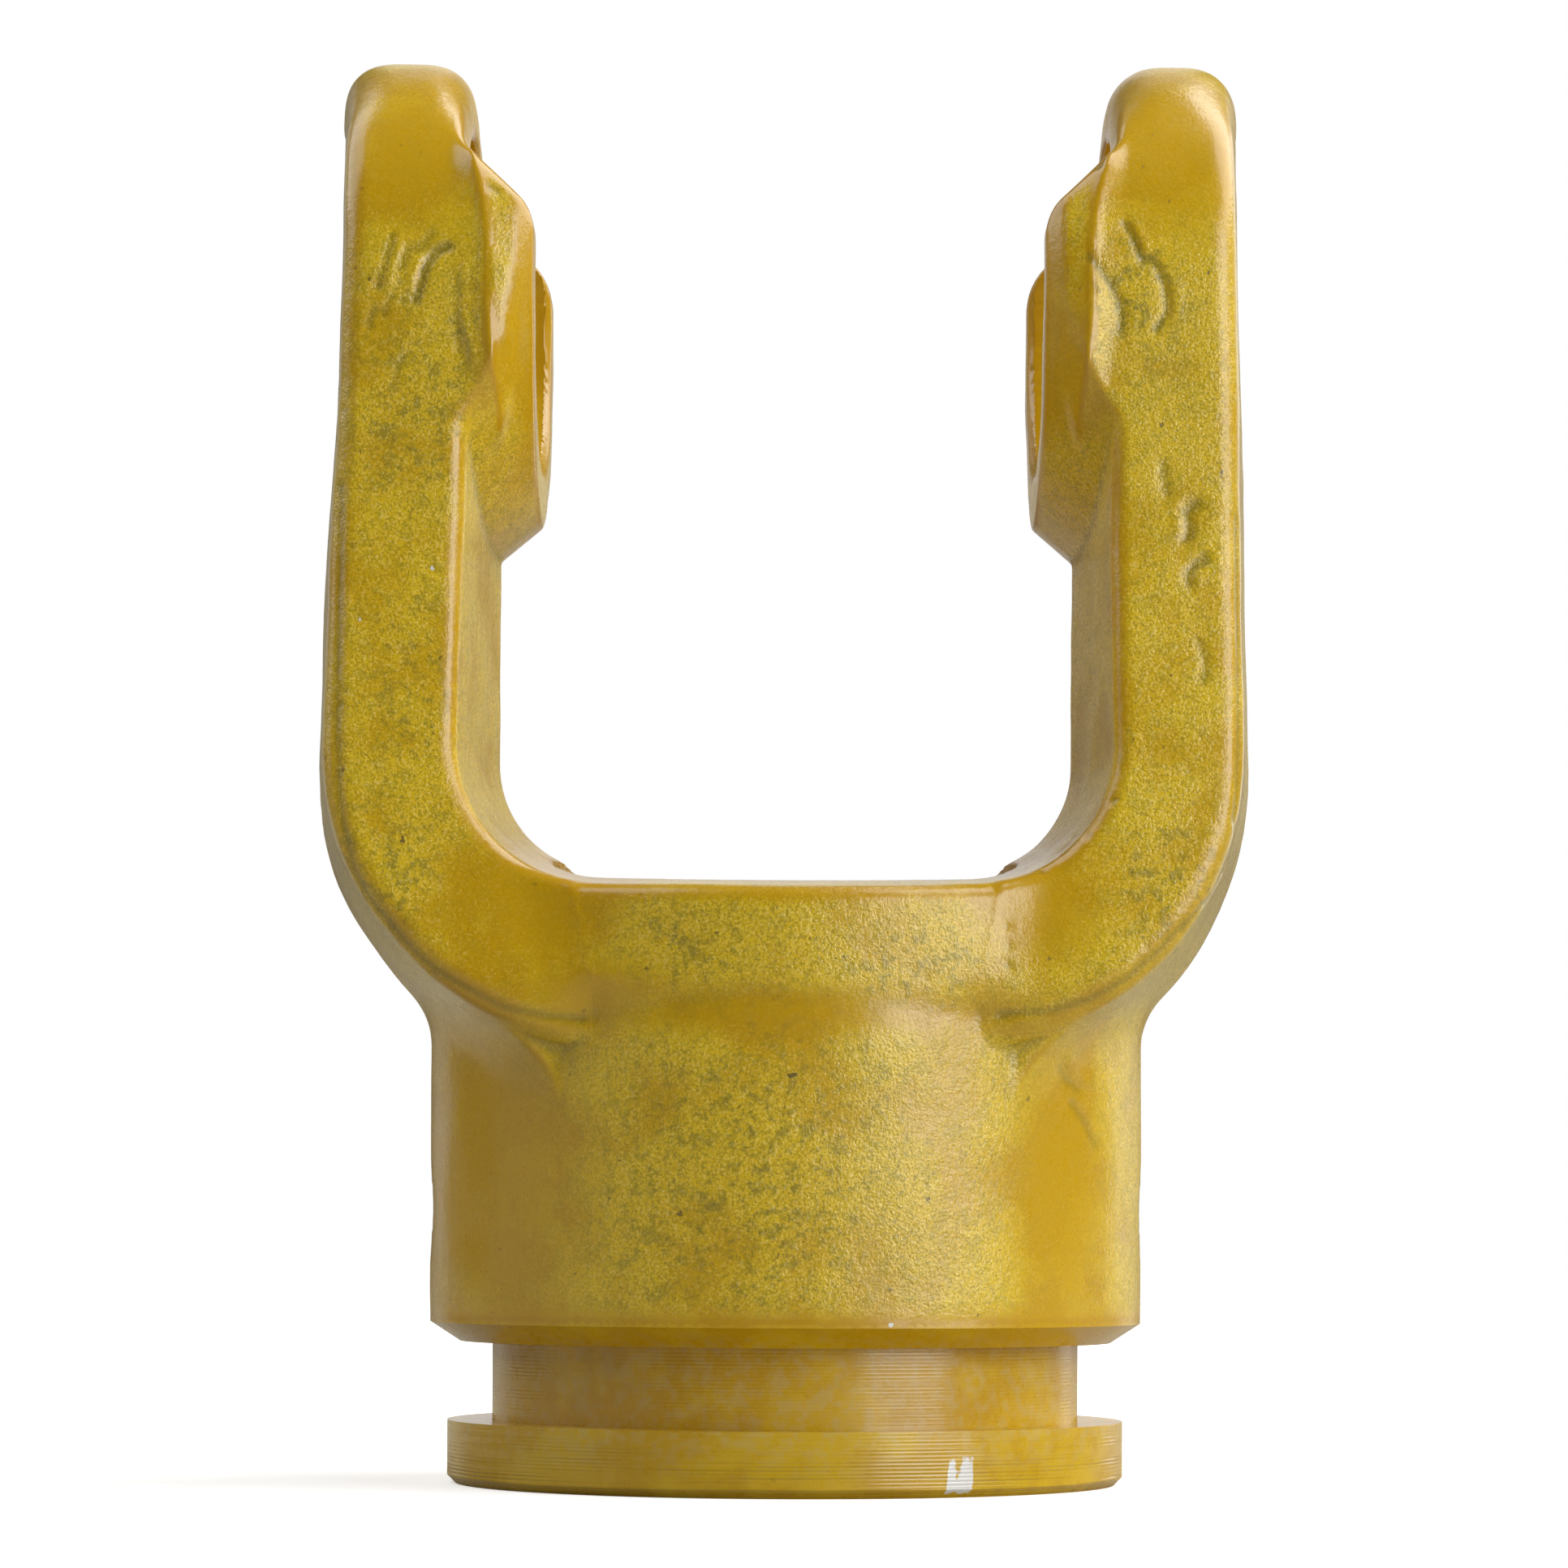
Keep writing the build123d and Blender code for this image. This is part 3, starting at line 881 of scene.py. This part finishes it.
def yellow_paint():
    """Mustard gloss paint over a shot-blasted forging."""
    material = bpy.data.materials.new("yellow_paint")
    material.use_nodes = True
    tree = material.node_tree
    shader = tree.nodes["Principled BSDF"]
    wiring = Wiring(tree)
    place = wiring.scaled(wiring.node("ShaderNodeTexCoord").outputs["Object"], 1 / MM)
    shot = wiring.noise(place, 4.0, 2.0, 0.6)
    pebble = wiring.noise(place, 1.5, 3.0, 0.62)
    clump = wiring.noise(place, 0.75, 4.0, 0.65)
    patch = wiring.noise(place, 0.11, 4.0, 0.6)
    speck = wiring.noise(place, 0.85, 2.0, 0.5)
    masks = worn_masks(wiring, place, patch)
    cuts = turning_cuts(wiring, masks, place)

    colour = paint_tones(wiring, masks, clump, patch)
    colour = grain_shade_glints_and_dirt(wiring, colour, masks, shot, pebble, clump, speck)
    colour = sheen_dust_cuts_and_chips(wiring, colour, masks, cuts, pebble, clump)
    relief = paint_relief(wiring, masks, cuts, shot, pebble)
    wiring.feed(shader.inputs["Base Color"], colour)
    wiring.feed(shader.inputs["Normal"], relief)
    wiring.feed(shader.inputs["Coat Normal"], relief)
    wiring.feed(shader.inputs["Roughness"], wiring.range(clump, 0.3, 0.7, 0.26, 0.34))
    shader.inputs["IOR"].default_value = 1.5
    shader.inputs["Coat Weight"].default_value = 0.42
    shader.inputs["Coat Roughness"].default_value = 0.14
    return material


def paper_floor():
    """Pale studio floor that keeps the yoke's soft shadow."""
    mesh = bpy.data.meshes.new("studio_floor")
    corners = [(x * FLOOR_HALF, y * FLOOR_HALF, 0) for x, y in ((-1, -1), (1, -1), (1, 1), (-1, 1))]
    mesh.from_pydata(corners, [], [(0, 1, 2, 3)])
    floor = link(bpy.data.objects.new("studio_floor", mesh))
    material = bpy.data.materials.new("studio_paper")
    material.use_nodes = True
    tree = material.node_tree
    shader = tree.nodes["Principled BSDF"]
    shader.inputs["Roughness"].default_value = 0.9
    shader.inputs["Specular IOR Level"].default_value = 0.1
    shader.inputs["Emission Color"].default_value = (1, 1, 1, 1)
    wiring = Wiring(tree)
    away = wiring.node("ShaderNodeVectorMath", operation="LENGTH")
    wiring.feed(away.inputs[0], wiring.node("ShaderNodeTexCoord").outputs["Object"])
    glow = wiring.range(away.outputs["Value"], 0.05, 0.30, 0.45, 1.0)
    seen = wiring.node("ShaderNodeLightPath").outputs["Is Camera Ray"]
    wiring.feed(shader.inputs["Emission Strength"], wiring.math("MULTIPLY", seen, glow))
    wiring.feed(shader.inputs["Base Color"], wiring.mix(seen, DARK_PAPER, PALE_PAPER))
    mesh.materials.append(material)


# Studio lamps: name, turn round the yoke and rise in degrees, distance and size in metres, power
STUDIO_PANELS = (
    ("key_panel", 47, 8, 0.8, (0.48, 0.7), 5.4),
    ("right_top_panel", 100, 50, 0.9, (1.0, 0.9), 10.0),
    ("left_top_panel", -95, 46, 0.9, (0.9, 0.9), 5.5),
    ("left_panel", -80, 5, 0.9, (0.9, 0.7), 0.50),
    ("back_right_panel", 143, 8, 0.9, (0.25, 0.7), 0.8),
    ("back_left_panel", -147, 8, 0.9, (0.30, 0.7), 0.25),
)
PANEL_AIM = Vector((0, 0, 70 * MM))


def soft_panel(name, turn, rise, distance, size, power):
    """A rectangular soft light that faces the yoke, turned round it and raised, in degrees."""
    turn = math.radians(turn)
    rise = math.radians(rise)
    level = distance * math.cos(rise)
    offset = Vector((level * math.sin(turn), -level * math.cos(turn), distance * math.sin(rise)))
    data = bpy.data.lights.new(name, "AREA")
    data.shape = "RECTANGLE"
    data.size, data.size_y = size
    data.energy = power
    lamp = link(bpy.data.objects.new(name, data))
    lamp.location = PANEL_AIM + offset
    lamp.rotation_euler = (-offset).to_track_quat("-Z", "Y").to_euler()


def studio_light():
    """Soft panels round the yoke, and a world with one narrow white sheet straight behind it."""
    for panel in STUDIO_PANELS:
        soft_panel(*panel)
    world = bpy.data.worlds.new("white_studio")
    world.use_nodes = True
    bpy.context.scene.world = world
    tree = world.node_tree
    background = tree.nodes["Background"]
    wiring = Wiring(tree)
    direction = wiring.node("ShaderNodeSeparateXYZ")
    wiring.feed(direction.inputs[0], wiring.node("ShaderNodeTexCoord").outputs["Generated"])
    behind = wiring.range(direction.outputs["Y"], 0.5, 0.8)
    narrow = wiring.range(wiring.math("ABSOLUTE", direction.outputs["X"]), 0.16, 0.10)
    dim = wiring.range(direction.outputs["Y"], -0.3, 1.0, 0.02, 0.06)
    dim = wiring.math("ADD", dim, wiring.times(behind, narrow, 0.75))
    seen = wiring.node("ShaderNodeLightPath").outputs["Is Camera Ray"]
    strength = wiring.node("ShaderNodeMix", data_type="FLOAT")
    wiring.feed(strength.inputs[0], seen)
    wiring.feed(strength.inputs[2], dim)
    strength.inputs[3].default_value = 1.0
    wiring.feed(background.inputs["Strength"], strength.outputs[0])
    background.inputs["Color"].default_value = (1, 1, 1, 1)


def photo_camera():
    """Camera at the photograph's place, level and shifted up."""
    data = bpy.data.cameras.new("photo_camera")
    data.sensor_width = SENSOR
    data.lens = SENSOR * CAMERA_DISTANCE / (PHOTO_SIZE * PIXEL)
    data.shift_y = (HORIZON_ROW - PHOTO_SIZE / 2) / PHOTO_SIZE
    data.clip_start = 0.01
    camera = link(bpy.data.objects.new("photo_camera", data))
    camera.location = (CAMERA_SIDE, -CAMERA_DISTANCE, CAMERA_HEIGHT)
    camera.rotation_euler = (math.pi / 2, -CAMERA_ROLL, 0)
    bpy.context.scene.camera = camera


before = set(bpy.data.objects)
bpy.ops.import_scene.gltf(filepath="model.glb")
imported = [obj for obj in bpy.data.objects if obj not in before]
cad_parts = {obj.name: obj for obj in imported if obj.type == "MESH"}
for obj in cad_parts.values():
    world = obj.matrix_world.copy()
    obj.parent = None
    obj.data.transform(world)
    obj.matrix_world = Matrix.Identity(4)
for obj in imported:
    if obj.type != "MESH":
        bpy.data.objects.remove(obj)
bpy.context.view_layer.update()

yoke = forged_yoke()
yoke.data.materials.append(yellow_paint())
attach(yoke, "root")
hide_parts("yoke")

paper_floor()
studio_light()
photo_camera()
bpy.context.scene.view_settings.view_transform = "Standard"
